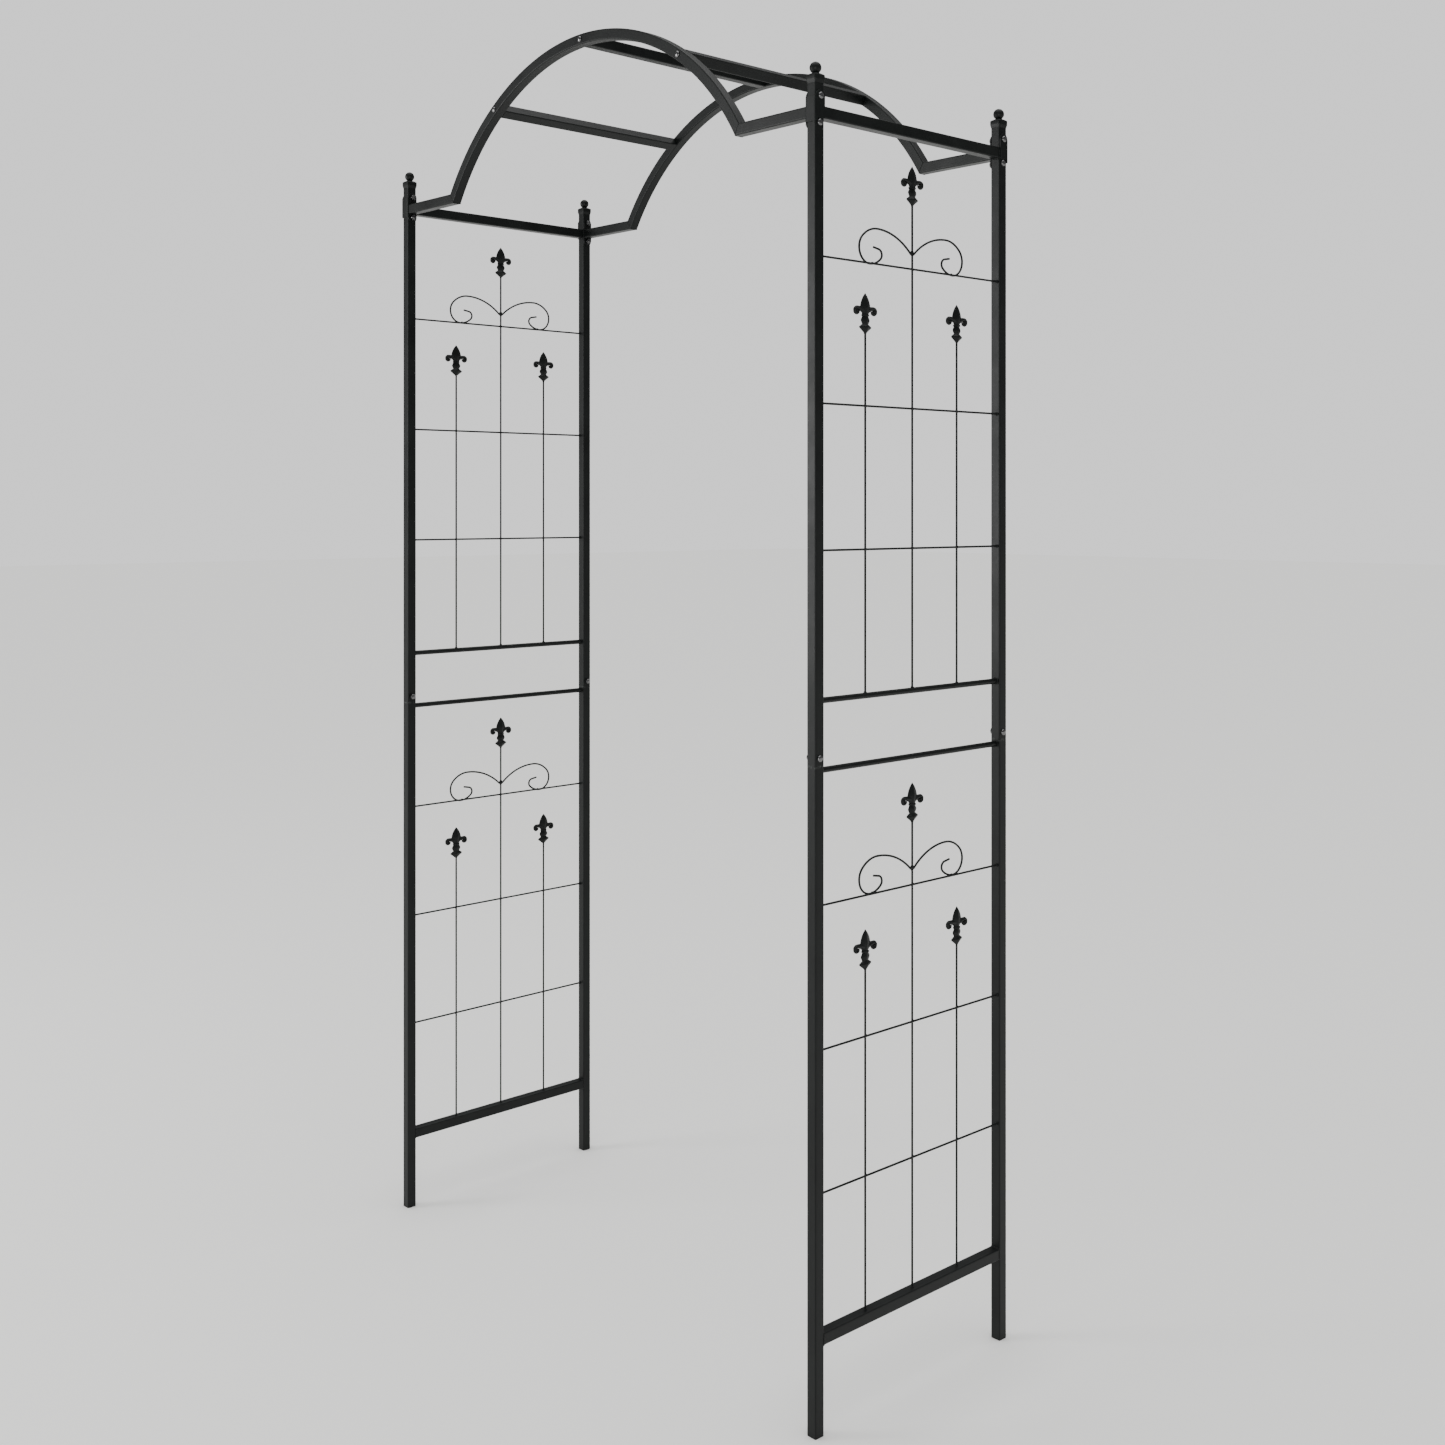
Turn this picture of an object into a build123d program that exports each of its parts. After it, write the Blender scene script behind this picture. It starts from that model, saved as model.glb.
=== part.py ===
"""Metal trellis arch: four square-tube posts, two welded trellis sides, two bent bows and three crossbars.

The origin is on the ground in the middle of the arch. X runs across the walkway, Y runs through it and Z is up.
Left and right are -X and +X, front and rear are -Y and +Y. All lengths are in millimetres.
"""
from build123d import *
from math import asin, cos, degrees, radians, sin, sqrt
import os

# Overall layout, measured between centre lines
SPAN_X = 1162.0
SPAN_Y = 454.0
SEAM_Z = 1035.0
POST_TOP = 2091.0
TOP_RAIL_Z = 2047.0
BOTTOM_RAIL_Z = 149.0

# Square tube used for posts, rails, bows and crossbars
TUBE = 19.0
TUBE_WALL = 1.2
TUBE_CORNER = 2.0

# Trellis sides
LOWER_ROUND_RAIL_Z = 1028.0
UPPER_ROUND_RAIL_Z = 1136.0
ROUND_RAIL = 9.5
ROUND_RAIL_WALL = 1.0
WIRE = 3.5
ROD_PITCH = SPAN_Y / 4
LOWER_WIRES = (373.0, 595.0, 819.0)
UPPER_WIRES = (1369.0, 1597.0, 1825.0)
LOWER_FLEURS = (700.0, 921.0, 700.0)
UPPER_FLEURS = (1713.0, 1930.0, 1713.0)
ROD_SOCKET = 8.0

# Scroll: a wire bent through five arcs, each a radius and a turn in degrees
SCROLL_START = 25.0
SCROLL_ARCS = ((118.4, 43.5), (50.0, 45.0), (25.2, 135.0), (38.0, 42.0), (9.0, 128.0))
SCROLL_TAIL = 13.0

# Fleur-de-lis finial
FLEUR_THICK = 7.0
FLEUR_KNOP_WIDE = 29.0
FLEUR_KNOP_THICK = 12.0
FLEUR_KNOP_Z = 9.3
FLEUR_COLLAR_Z = 14.6
FLEUR_COLLAR = 16.6
SOCKET_CLEARANCE = 0.05

# Bow: one circular arc that meets the level shoulders in a mitre
BOW_RADIUS = 485.0
BOW_CENTRE_Z = 1792.5
BOW_OVERRUN = 3.0
CROSSBAR_X = 267.0

# Corner bracket, bent from plate into a U round the post; the web's folded edges begin WEB_RETURN from the centre
PLATE = 2.0
UPPER_BOLT_Z = 2071.0
LOWER_BOLT_Z = 2030.0
OUTER_LEG_BOTTOM = 2036.5
WEB_BOTTOM = 2031.0
WEB_TOP = 2071.0
WEB_RETURN = 6.5

# Fasteners
BOLT = 6.0
BOLT_HOLE = 6.6
HEAD = 11.0
HEAD_HEIGHT = 3.3
HEAD_ROUND = 2.6
NUT_FLATS = 10.0
NUT_HEIGHT = 5.0
THREAD_TAIL = 2.0
SEAM_BOLT_Z = SEAM_Z + 13
PLUG = 16.4
PLUG_LENGTH = 15.0

# Joining tube inside the seam
INSERT = 16.4
INSERT_WALL = 1.5
INSERT_BELOW = 60.0
INSERT_ABOVE = 55.0

# Post cap: each row is a height above the top of the post, a width and a corner radius
CAP_ROWS = (
    (0.0, 19.0, 2.0),
    (5.6, 22.2, 2.5),
    (12.2, 22.2, 2.5),
    (14.4, 17.4, 3.0),
    (16.0, 11.6, 3.0),
)
BALL = 18.8
BALL_HEIGHT = 24.6
NECK = 10.0
SPIGOT = 16.4
SPIGOT_LENGTH = 12.0

# Values that follow from those above
HALF_X = SPAN_X / 2
HALF_Y = SPAN_Y / 2
HALF_TUBE = TUBE / 2
INNER_Y = HALF_Y - HALF_TUBE
MITRE_X = sqrt(BOW_RADIUS**2 - (TOP_RAIL_Z - BOW_CENTRE_Z) ** 2)
MITRE_ANGLE = degrees(asin(MITRE_X / BOW_RADIUS))
CROSSBAR_ANGLE = degrees(asin(CROSSBAR_X / BOW_RADIUS))
FLEUR_HEIGHT = 64.0

SIDES = {"left": -1, "right": 1}
ENDS = {"front": -1, "rear": 1}
CORNERS = [(end, side) for end in ENDS for side in SIDES]
CROSSBARS = {"left": -CROSSBAR_ANGLE, "centre": 0.0, "right": CROSSBAR_ANGLE}

os.makedirs("parts", exist_ok=True)


def save(part, name):
    """Label a finished piece and write it as its own STEP file."""
    part.label = name
    export_step(part, f"parts/{name}.step")


def tube_section(size=TUBE, wall=TUBE_WALL, corner=TUBE_CORNER):
    """Section of a square tube, drawn in the sketch that is open."""
    RectangleRounded(size, size, corner)
    RectangleRounded(size - 2 * wall, size - 2 * wall, max(corner - wall, 0.3), mode=Mode.SUBTRACT)


def facing_x(x, y, z, side):
    """Plane at a point with its normal along X, out of the arch on that side."""
    return Plane(origin=(x, y, z), x_dir=(0, side, 0), z_dir=(side, 0, 0))


def facing_y(x, y, z, end):
    """Plane at a point with its normal along Y, out of the arch at that end."""
    return Plane(origin=(x, y, z), x_dir=(1, 0, 0), z_dir=(0, end, 0))


def bow_point(angle, y):
    """Point on the bow's centre line, at an angle from the apex that is positive towards the right."""
    return (BOW_RADIUS * sin(radians(angle)), y, BOW_CENTRE_Z + BOW_RADIUS * cos(radians(angle)))


def mitre_plane(y, side):
    """Plane of the mitre between bow and shoulder, with its normal out of the arch and down."""
    turn = radians(MITRE_ANGLE / 2)
    return Plane(origin=(side * MITRE_X, y, TOP_RAIL_Z), x_dir=(0, 1, 0), z_dir=(side * cos(turn), 0, -sin(turn)))


def dome_bolt(plane, length):
    """Bolt whose domed head stands on the plane and whose shank goes down from it."""
    with BuildPart() as bolt:
        with Locations(plane):
            Cylinder(HEAD / 2, HEAD_HEIGHT, align=(Align.CENTER, Align.CENTER, Align.MIN))
        fillet(bolt.edges().sort_by(Axis(plane.origin, plane.z_dir))[-1], HEAD_ROUND)
        with Locations(plane):
            Cylinder(BOLT / 2, length, align=(Align.CENTER, Align.CENTER, Align.MAX))
    return bolt.part


def hexagon_nut(plane):
    """Nut that stands on the plane, with a bore of the bolt's size."""
    with BuildPart() as nut:
        with BuildSketch(plane):
            RegularPolygon(NUT_FLATS / 2, 6, major_radius=False)
            Circle(BOLT / 2, mode=Mode.SUBTRACT)
        extrude(amount=NUT_HEIGHT)
    return nut.part


# Posts: a lower and an upper length that butt at the seam, over a joining tube.
for end, side in CORNERS:
    x = SIDES[side] * HALF_X
    y = ENDS[end] * HALF_Y

    with BuildPart() as post_lower:
        with BuildSketch(Plane.XY):
            with Locations((x, y)):
                tube_section()
        extrude(amount=SEAM_Z)
    save(post_lower.part, f"post_lower_{end}_{side}")

    with BuildPart() as post_upper:
        with BuildSketch(Plane.XY.offset(SEAM_Z)):
            with Locations((x, y)):
                tube_section()
        extrude(amount=POST_TOP - SEAM_Z)
        for z in (SEAM_BOLT_Z, LOWER_BOLT_Z, UPPER_BOLT_Z):
            with Locations(facing_x(x, y, z, SIDES[side])):
                Cylinder(BOLT_HOLE / 2, 2 * TUBE, mode=Mode.SUBTRACT)
    save(post_upper.part, f"post_upper_{end}_{side}")

    with BuildPart() as post_insert:
        with BuildSketch(Plane.XY.offset(SEAM_Z - INSERT_BELOW)):
            with Locations((x, y)):
                tube_section(INSERT, INSERT_WALL, TUBE_CORNER - TUBE_WALL)
        extrude(amount=INSERT_BELOW + INSERT_ABOVE)
        with Locations(facing_x(x, y, SEAM_BOLT_Z, SIDES[side])):
            Cylinder(BOLT_HOLE / 2, 2 * TUBE, mode=Mode.SUBTRACT)
    save(post_insert.part, f"post_insert_{end}_{side}")

# Post caps: a square plug in the post, a flared rim, a neck and a ball.
for end, side in CORNERS:
    x = SIDES[side] * HALF_X
    y = ENDS[end] * HALF_Y

    with BuildPart() as post_cap:
        for height, size, corner in CAP_ROWS:
            with BuildSketch(Plane.XY.offset(POST_TOP + height)):
                with Locations((x, y)):
                    RectangleRounded(size, size, corner)
        loft(ruled=True)
        with BuildSketch(Plane.XY.offset(POST_TOP)):
            with Locations((x, y)):
                RectangleRounded(SPIGOT, SPIGOT, TUBE_CORNER - TUBE_WALL)
        extrude(amount=-SPIGOT_LENGTH)
        with Locations((x, y, POST_TOP + CAP_ROWS[-1][0])):
            Cylinder(NECK / 2, BALL_HEIGHT - CAP_ROWS[-1][0], align=(Align.CENTER, Align.CENTER, Align.MIN))
        with Locations((x, y, POST_TOP + BALL_HEIGHT)):
            Sphere(BALL / 2)
    save(post_cap.part, f"post_cap_{end}_{side}")

# Corner brackets: the inner leg takes both bolts and the shoulder, the outer leg takes the upper bolt.
for end, side in CORNERS:
    out_x = SIDES[side]
    out_y = ENDS[end]
    x = out_x * HALF_X
    y = out_y * HALF_Y
    inner_face = x - out_x * (HALF_TUBE + PLATE)
    outer_face = x + out_x * (HALF_TUBE + PLATE)

    with BuildPart() as bracket:
        with BuildSketch(Plane.XY.offset(WEB_BOTTOM)):
            with Locations((x, y)):
                RectangleRounded(TUBE + 2 * PLATE, TUBE + 2 * PLATE, TUBE_CORNER)
                Rectangle(TUBE, TUBE, mode=Mode.SUBTRACT)
            with Locations((x, y - out_y * (TUBE - WEB_RETURN))):
                Rectangle(2 * TUBE, 2 * TUBE, mode=Mode.SUBTRACT)
        extrude(amount=WEB_TOP - WEB_BOTTOM)
        with BuildSketch(facing_x(inner_face, y, (UPPER_BOLT_Z + LOWER_BOLT_Z) / 2, out_x)):
            SlotOverall(UPPER_BOLT_Z - LOWER_BOLT_Z + TUBE, TUBE, rotation=90)
        extrude(amount=PLATE)
        with BuildSketch(facing_x(outer_face, y, UPPER_BOLT_Z, out_x)):
            Circle(HALF_TUBE)
            with Locations((0, (OUTER_LEG_BOTTOM - UPPER_BOLT_Z) / 2)):
                Rectangle(TUBE, UPPER_BOLT_Z - OUTER_LEG_BOTTOM)
        extrude(amount=-PLATE)
        for z in (LOWER_BOLT_Z, UPPER_BOLT_Z):
            with Locations(facing_x(x, y, z, out_x)):
                Cylinder(BOLT_HOLE / 2, 2 * TUBE, mode=Mode.SUBTRACT)
    save(bracket.part, f"corner_bracket_{end}_{side}")

# Straight rails of both sides, welded between the faces of the posts.
for side, out_x in SIDES.items():
    x = out_x * HALF_X
    for name, z in (("bottom_rail", BOTTOM_RAIL_Z), ("side_top_rail", TOP_RAIL_Z)):
        with BuildPart() as square_rail:
            with BuildSketch(Plane(origin=(x, -INNER_Y, z), x_dir=(1, 0, 0), z_dir=(0, 1, 0))):
                tube_section()
            extrude(amount=2 * INNER_Y)
        save(square_rail.part, f"{name}_{side}")
    for name, z in (("lower_round_rail", LOWER_ROUND_RAIL_Z), ("upper_round_rail", UPPER_ROUND_RAIL_Z)):
        with BuildPart() as round_rail:
            with BuildSketch(Plane(origin=(x, -INNER_Y, z), x_dir=(1, 0, 0), z_dir=(0, 1, 0))):
                Circle(ROUND_RAIL / 2)
                Circle(ROUND_RAIL / 2 - ROUND_RAIL_WALL, mode=Mode.SUBTRACT)
            extrude(amount=2 * INNER_Y)
        save(round_rail.part, f"{name}_{side}")

# Trellis infill: rods stand on the rail, wires lie against their outer side, scrolls stand in the rods' plane.
PANELS = {
    "lower": (BOTTOM_RAIL_Z + HALF_TUBE, LOWER_WIRES, LOWER_FLEURS),
    "upper": (UPPER_ROUND_RAIL_Z + ROUND_RAIL / 2, UPPER_WIRES, UPPER_FLEURS),
}
for side, out_x in SIDES.items():
    x = out_x * HALF_X
    for level, (rod_foot, wire_heights, fleur_bases) in PANELS.items():
        rod_places = [(column * ROD_PITCH, base) for column, base in zip((-1, 0, 1), fleur_bases)]

        with BuildPart() as rods:
            for rod_y, base in rod_places:
                with BuildSketch(Plane.XY.offset(rod_foot)):
                    with Locations((x, rod_y)):
                        Circle(WIRE / 2)
                extrude(amount=base + ROD_SOCKET - rod_foot)
        save(rods.part, f"{level}_rods_{side}")

        with BuildPart() as wires:
            for z in wire_heights:
                with BuildSketch(Plane(origin=(x + out_x * WIRE, -INNER_Y, z), z_dir=(0, 1, 0))):
                    Circle(WIRE / 2)
                extrude(amount=2 * INNER_Y)
        save(wires.part, f"{level}_wires_{side}")

        with BuildPart() as scrolls:
            for way in (-1, 1):
                scroll_plane = Plane(origin=(x, 0, wire_heights[-1]), x_dir=(0, way, 0), z_dir=(way, 0, 0))
                with BuildLine(scroll_plane) as scroll_path:
                    radius, turn = SCROLL_ARCS[0]
                    heading = (cos(radians(turn)), sin(radians(turn)))
                    bend = JernArc((WIRE, SCROLL_START), heading, radius, -turn)
                    for radius, turn in SCROLL_ARCS[1:]:
                        bend = JernArc(bend @ 1, bend % 1, radius, -turn)
                    Line(bend @ 1, bend @ 1 + (bend % 1) * SCROLL_TAIL)
                with BuildSketch(Plane(origin=scroll_path.line @ 0, z_dir=scroll_path.line % 0)):
                    Circle(WIRE / 2)
                sweep(path=scroll_path.line)
        save(scrolls.part, f"{level}_scrolls_{side}")

        with BuildPart() as fleurs:
            for rod_y, base in rod_places:
                front = Plane(origin=(x, rod_y, base), x_dir=(0, 1, 0), z_dir=(1, 0, 0))
                with BuildSketch(front):
                    with BuildLine():
                        Line((0, FLEUR_KNOP_Z), (FLEUR_COLLAR / 2, FLEUR_KNOP_Z))
                        Line((FLEUR_COLLAR / 2, FLEUR_KNOP_Z), (FLEUR_COLLAR / 2, FLEUR_COLLAR_Z))
                        ThreePointArc((FLEUR_COLLAR / 2, FLEUR_COLLAR_Z), (10.5, 20.5), (7.0, 27.4))
                        ThreePointArc((7.0, 27.4), (12.5, 31.5), (17.5, 26.8))
                        ThreePointArc((17.5, 26.8), (27.8, 34.5), (19.0, 42.7))
                        Line((19.0, 42.7), (12.0, 41.5))
                        ThreePointArc((12.0, 41.5), (8.6, 53.5), (0, FLEUR_HEIGHT))
                        Line((0, FLEUR_HEIGHT), (0, FLEUR_KNOP_Z))
                    make_face()
                    mirror(about=Plane.YZ)
                extrude(amount=FLEUR_THICK / 2, both=True)
                for height, wide, thick in (
                    (0.0, 5.0, 5.0),
                    (FLEUR_KNOP_Z, FLEUR_KNOP_WIDE, FLEUR_KNOP_THICK),
                    (FLEUR_COLLAR_Z, FLEUR_COLLAR, FLEUR_THICK),
                ):
                    with BuildSketch(Plane.XY.offset(base + height)):
                        with Locations((x, rod_y)):
                            Rectangle(thick, wide)
                loft(ruled=True)
                with Locations((x, rod_y, base)):
                    Cylinder(
                        WIRE / 2 + SOCKET_CLEARANCE,
                        ROD_SOCKET,
                        align=(Align.CENTER, Align.CENTER, Align.MIN),
                        mode=Mode.SUBTRACT,
                    )
        save(fleurs.part, f"{level}_fleurs_{side}")

# Bows: the tube section turned about the arc's centre, cut by the mitres and drilled for the crossbar screws.
for end, out_y in ENDS.items():
    y = out_y * HALF_Y
    start = radians(-MITRE_ANGLE - BOW_OVERRUN)
    start_plane = Plane(origin=(0, y, BOW_CENTRE_Z), x_dir=(0, 1, 0), z_dir=(cos(start), 0, -sin(start)))
    with BuildPart() as bow:
        with BuildSketch(start_plane):
            with Locations((0, BOW_RADIUS)):
                tube_section()
        revolve(axis=Axis((0, 0, BOW_CENTRE_Z), (0, 1, 0)), revolution_arc=2 * (MITRE_ANGLE + BOW_OVERRUN))
        for out_x in SIDES.values():
            split(bisect_by=mitre_plane(y, out_x), keep=Keep.BOTTOM)
        for angle in CROSSBARS.values():
            with Locations(facing_y(*bow_point(angle, y), out_y)):
                Cylinder(BOLT_HOLE / 2, 2 * TUBE, mode=Mode.SUBTRACT)
    save(bow.part, f"arch_bow_{end}")

    for side, out_x in SIDES.items():
        bracket_face = out_x * (HALF_X - HALF_TUBE - PLATE)
        with BuildPart() as shoulder:
            with BuildSketch(Plane(origin=(bracket_face, y, TOP_RAIL_Z), x_dir=(0, 1, 0), z_dir=(-out_x, 0, 0))):
                tube_section()
            extrude(amount=HALF_X - MITRE_X + TUBE)
            split(bisect_by=mitre_plane(y, out_x), keep=Keep.TOP)
        save(shoulder.part, f"arch_shoulder_{end}_{side}")

# Crossbars: each is turned to lie square to the bow where it meets it.
for name, angle in CROSSBARS.items():
    tangent = (cos(radians(angle)), 0, -sin(radians(angle)))
    with BuildPart() as crossbar:
        with BuildSketch(Plane(origin=bow_point(angle, -INNER_Y), x_dir=tangent, z_dir=(0, 1, 0))):
            tube_section()
        extrude(amount=2 * INNER_Y)
    save(crossbar.part, f"crossbar_{name}")

with BuildPart() as crossbar_plugs:
    for angle in CROSSBARS.values():
        tangent = (cos(radians(angle)), 0, -sin(radians(angle)))
        for out_y in ENDS.values():
            with BuildSketch(Plane(origin=bow_point(angle, out_y * INNER_Y), x_dir=tangent, z_dir=(0, -out_y, 0))):
                RectangleRounded(PLUG, PLUG, TUBE_CORNER - TUBE_WALL)
                Circle(BOLT / 2, mode=Mode.SUBTRACT)
            extrude(amount=PLUG_LENGTH)
save(crossbar_plugs.part, "crossbar_plugs")

# Fasteners: like ones share a node.
with BuildPart() as crossbar_screws:
    for angle in CROSSBARS.values():
        for out_y in ENDS.values():
            x, y, z = bow_point(angle, out_y * (HALF_Y + HALF_TUBE))
            add(dome_bolt(facing_y(x, y, z, out_y), TUBE + PLUG_LENGTH))
save(crossbar_screws.part, "crossbar_screws")

BOLTS = {
    "seam": ((SEAM_BOLT_Z, 0.0, 0.0),),
    "corner": ((UPPER_BOLT_Z, PLATE, PLATE), (LOWER_BOLT_Z, 0.0, PLATE)),
}
for name, places in BOLTS.items():
    with BuildPart() as bolts:
        for end, side in CORNERS:
            out_x = SIDES[side]
            for z, outer_plate, inner_plate in places:
                head_x = out_x * (HALF_X + HALF_TUBE + outer_plate)
                grip = TUBE + outer_plate + inner_plate
                seat = facing_x(head_x, ENDS[end] * HALF_Y, z, out_x)
                add(dome_bolt(seat, grip + NUT_HEIGHT + THREAD_TAIL))
    save(bolts.part, f"{name}_bolts")

    with BuildPart() as nuts:
        for end, side in CORNERS:
            out_x = SIDES[side]
            for z, outer_plate, inner_plate in places:
                nut_x = out_x * (HALF_X - HALF_TUBE - inner_plate)
                add(hexagon_nut(facing_x(nut_x, ENDS[end] * HALF_Y, z, -out_x)))
    save(nuts.part, f"{name}_nuts")
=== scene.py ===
"""Looks of a metal trellis arch: square powder-coated tube, bent bows, wire trellis sides with scrolls and finials.

Every piece is a closed surface worked out with numpy: a profile carried along a path. All lengths below are in
millimetres and become metres when a mesh is made. X runs across the walkway, Y runs through it and Z is up.
"""

import bpy
import numpy as np
from bpy.props import FloatProperty, FloatVectorProperty, PointerProperty
from mathutils import Euler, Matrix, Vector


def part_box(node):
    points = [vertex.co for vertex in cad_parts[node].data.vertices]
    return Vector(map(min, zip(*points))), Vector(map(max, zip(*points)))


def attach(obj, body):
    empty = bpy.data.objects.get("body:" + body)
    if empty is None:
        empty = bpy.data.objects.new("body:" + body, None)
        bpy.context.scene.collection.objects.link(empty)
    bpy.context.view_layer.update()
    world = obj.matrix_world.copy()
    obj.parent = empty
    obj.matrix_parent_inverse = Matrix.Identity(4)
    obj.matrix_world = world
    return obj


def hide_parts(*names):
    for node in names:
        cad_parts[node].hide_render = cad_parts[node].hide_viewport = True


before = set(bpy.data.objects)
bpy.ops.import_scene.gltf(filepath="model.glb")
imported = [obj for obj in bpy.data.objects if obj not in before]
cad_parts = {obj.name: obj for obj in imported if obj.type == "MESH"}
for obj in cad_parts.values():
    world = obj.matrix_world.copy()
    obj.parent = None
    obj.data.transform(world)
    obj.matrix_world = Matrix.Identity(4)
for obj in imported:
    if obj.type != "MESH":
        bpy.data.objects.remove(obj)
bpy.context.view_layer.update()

bl_info = {
    "name": "Metal trellis arch",
    "version": (1, 0, 0),
    "blender": (4, 5, 0),
    "location": "View3D > Sidebar > Trellis arch",
    "description": "Builds the visible surfaces and finishes of a metal trellis arch",
    "category": "Object",
}

MM = 0.001
SIDES = {"left": -1, "right": 1}
ENDS = {"front": -1, "rear": 1}
CORNERS = [(end, side) for end in ENDS for side in SIDES]
CROSSBARS = {"left": -1, "centre": 0, "right": 1}
UP = np.array([0.0, 0.0, 1.0])


def box_mm(node):
    """Lowest and highest corner of a frame node, in millimetres."""
    low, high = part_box(node)
    return np.array(low) / MM, np.array(high) / MM


# Layout read from the frame
POST_LOW, POST_HIGH = box_mm("post_lower_front_right")
TUBE = POST_HIGH[0] - POST_LOW[0]
HALF_X = (POST_HIGH[0] + POST_LOW[0]) / 2
HALF_Y = -(POST_HIGH[1] + POST_LOW[1]) / 2
SEAM_Z = POST_HIGH[2]
POST_TOP = box_mm("post_upper_front_right")[1][2]
INNER_Y = HALF_Y - TUBE / 2
TOP_RAIL_Z = box_mm("side_top_rail_right")[0][2] + TUBE / 2
BOTTOM_RAIL_Z = box_mm("bottom_rail_right")[0][2] + TUBE / 2
ROUND_RAIL = 9.5
ROUND_RAIL_WALL = 1.0
ROUND_RAILS = {
    name: box_mm(f"{name}_right")[0][2] + ROUND_RAIL / 2 for name in ("lower_round_rail", "upper_round_rail")
}
BOW_TOP = box_mm("arch_bow_front")[1][2]

# Bow and crossbars
BOW_RADIUS = 485.0
BOW_CENTRE_Z = BOW_TOP - TUBE / 2 - BOW_RADIUS
CROSSBAR_X = 267.0
MITRE_X = np.sqrt(BOW_RADIUS**2 - (TOP_RAIL_Z - BOW_CENTRE_Z) ** 2)
MITRE_ANGLE = np.arcsin(MITRE_X / BOW_RADIUS)
CROSSBAR_ANGLE = np.arcsin(CROSSBAR_X / BOW_RADIUS)

# Trellis sides
ROD_PITCH = HALF_Y / 2
WIRE = 3.5
WIRE_HEIGHTS = {"lower": (373.0, 595.0, 819.0), "upper": (1369.0, 1597.0, 1825.0)}
FLEUR_BASES = {"lower": (700.0, 921.0, 700.0), "upper": (1713.0, 1930.0, 1713.0)}
ROD_FEET = {"lower": BOTTOM_RAIL_Z + TUBE / 2, "upper": ROUND_RAILS["upper_round_rail"] + ROUND_RAIL / 2}
ROD_SOCKET = 8.0
SCROLL_START = (WIRE, 25.0)
SCROLL_ARCS = ((118.4, 43.5), (50.0, 45.0), (25.2, 135.0), (38.0, 42.0), (9.0, 128.0))
SCROLL_TAIL = 13.0
SCROLL_REST = 98.0

# Brackets and fasteners
PLATE = 2.0
UPPER_BOLT_Z = 2071.0
LOWER_BOLT_Z = 2030.0
SEAM_BOLT_Z = SEAM_Z + 13
BRACKET_BEND = 1.2
OUTER_LEG_BOTTOM = 2036.5
WEB_BOTTOM = 2031.0
WEB_RETURN = 6.5
BOLT = 6.0
HEAD = 11.0
HEAD_HEIGHT = 3.3
NUT_FLATS = 10.0
NUT_HEIGHT = 5.0
THREAD_TAIL = 2.0
THREAD_PITCH = 1.0
THREAD_DEPTH = 0.3
THREAD_LENGTH = 9.0
PLUG_LENGTH = 15.0

# Post cap. Each row is a height above the post, a size across and a corner radius; half the size makes a circle.
CAP_ROWS = [
    (0.0, 19.0, 2.0),
    (0.4, 19.3, 2.0),
    (3.0, 20.7, 2.2),
    (5.0, 21.8, 2.4),
    (5.6, 22.15, 2.5),
    (6.2, 22.2, 2.5),
    (11.9, 22.2, 2.5),
    (12.5, 22.0, 2.6),
    (13.1, 21.3, 2.8),
    (14.4, 17.4, 3.0),
    (15.4, 14.0, 4.4),
    (16.0, 11.6, 5.3),
    (16.8, 10.2, 5.1),
    (17.4, 10.0, 5.0),
]
NECK_RADIUS = 5.0
BALL_RADIUS = 9.4
BALL_HEIGHT = 24.6

# Welds: radii of the beads, and half sizes of the tacks along X, Y and Z
ROUND_RAIL_WELD = 1.1
MITRE_WELD = 0.75
ROD_FOOT_TACK = (2.9, 2.9, 1.7)
ROD_TOP_TACK = (2.2, 2.2, 1.5)
CROSSING_TACK = (1.6, 2.3, 2.3)
SCROLL_ROOT_TACK = (1.9, 1.7, 4.2)
SCROLL_WIRE_TACK = (1.7, 2.6, 1.8)
WIRE_END_DEPTH = 1.9
FIRST_SEED = 11
SECOND_TACK = 500

# Stage, in metres and degrees
FLOOR_REACH = 40
SUN_SPREAD = 85
CAMERA_PLACE = (2.3916, -2.0897, 1.4346)
CAMERA_TURN = (90.0, 0.0, 47.36)
CAMERA_LENS = 41.78
CAMERA_SHIFT = -0.1484


# ---------------------------------------------------------------- sizes and colours a user would change


def linear(hex_colour):
    """An sRGB hex colour as linear red, green and blue."""
    srgb = np.array([int(hex_colour[i : i + 2], 16) for i in (1, 3, 5)]) / 255
    return tuple(np.where(srgb <= 0.04045, srgb / 12.92, ((srgb + 0.055) / 1.055) ** 2.4))


def colour_setting(name, description, hex_colour):
    """A colour that a user can change, with its default as an sRGB hex colour."""
    default = linear(hex_colour)
    return FloatVectorProperty(name=name, description=description, subtype="COLOR", size=3, default=default)


class TrellisSizes(bpy.types.PropertyGroup):
    """Small sizes of the tube and of the welds, in millimetres."""

    corner: FloatProperty(name="Tube corner", description="Outside corner radius of the square tube", default=2.0)
    wall: FloatProperty(name="Tube wall", description="Wall thickness of the square tube", default=1.2)
    weld: FloatProperty(name="Weld bead", description="Radius of the weld bead round a rail's end", default=1.3)
    tack: FloatProperty(name="Wire tack", description="Radius of the weld at a wire's end", default=3.0)


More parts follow.
